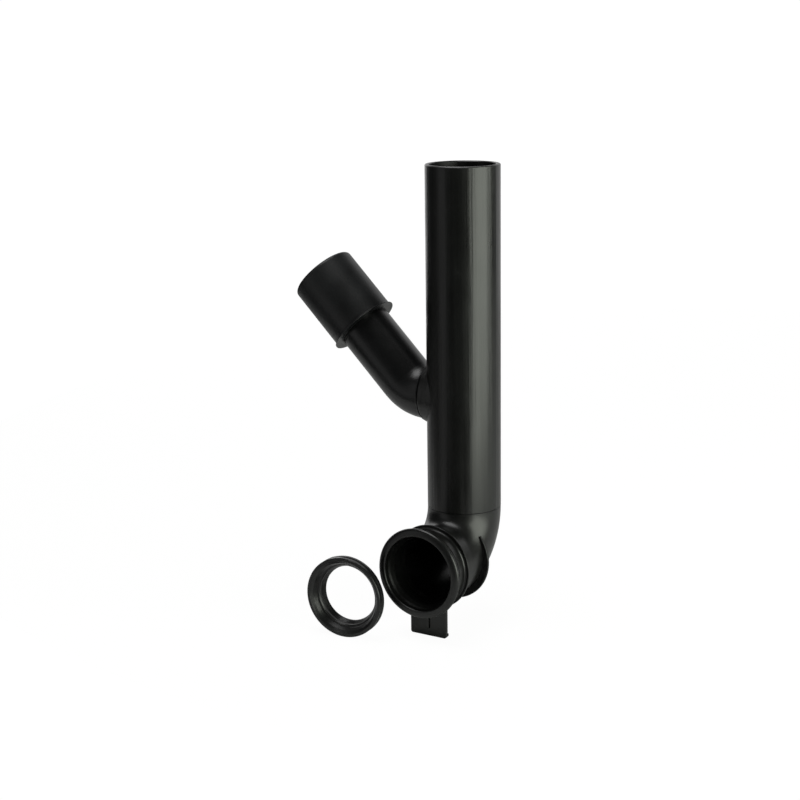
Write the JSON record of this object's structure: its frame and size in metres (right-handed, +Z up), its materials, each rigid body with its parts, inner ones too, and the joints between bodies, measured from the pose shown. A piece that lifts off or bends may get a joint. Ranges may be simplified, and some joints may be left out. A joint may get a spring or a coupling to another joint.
{
  "type": "drain pipe bend",
  "caption": "Black plastic drain pipe with a right-angle socket elbow at its foot, a side branch bent upward with a rubber sleeve, and a lip seal taken out beside the socket.",
  "frame": {"origin": "centre of the socket's bore at the foot of the pipe, on the outlet axis", "axes": "+Z up along the straight pipe, -Y out of the socket's mouth, -X toward the side branch"},
  "size_m": [0.1793, 0.1208, 0.3486],
  "materials": {
    "black_pe": "satin",
    "black_pe_gloss": "gloss",
    "black_rubber": "satin"
  },
  "bodies": {
    "root": {"straight_pipe": "black_pe", "outlet_elbow": "black_pe", "branch_bend": "black_pe_gloss", "branch_sleeve": "black_rubber", "lip_seal": "black_rubber"}
  },
  "joints": []
}
